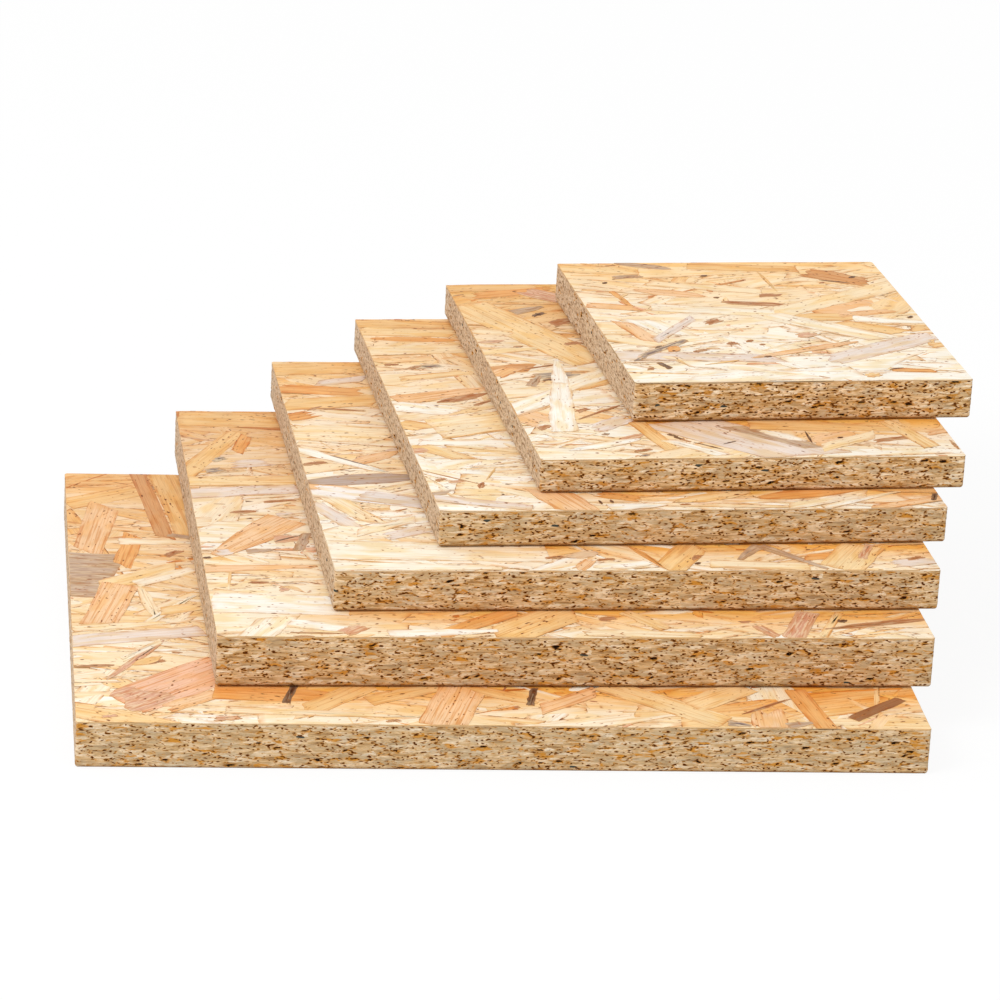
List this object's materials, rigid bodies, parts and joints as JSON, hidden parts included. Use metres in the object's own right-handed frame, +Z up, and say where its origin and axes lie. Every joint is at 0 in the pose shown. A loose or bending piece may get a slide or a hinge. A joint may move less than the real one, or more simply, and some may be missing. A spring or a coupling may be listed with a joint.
{
  "type": "stack of osb panels",
  "caption": "Stepped stack of rectangular oriented strand board offcuts, each smaller than the one below and turned slightly.",
  "frame": {"origin": "middle of the stack's footprint box, on the floor that the bottom panel lies on", "axes": "+X along the bottom panel's long front edge, to the side that the upper panels overhang; +Y to the back; +Z up, through the panels' thickness"},
  "size_m": [0.3904, 0.3722, 0.1105],
  "materials": {
    "osb": "pressed strands, satin face and matt sawn edges"
  },
  "bodies": {
    "root": {"panel_1": "osb", "panel_2": "osb", "panel_3": "osb", "panel_4": "osb", "panel_5": "osb", "panel_6": "osb"}
  },
  "joints": []
}
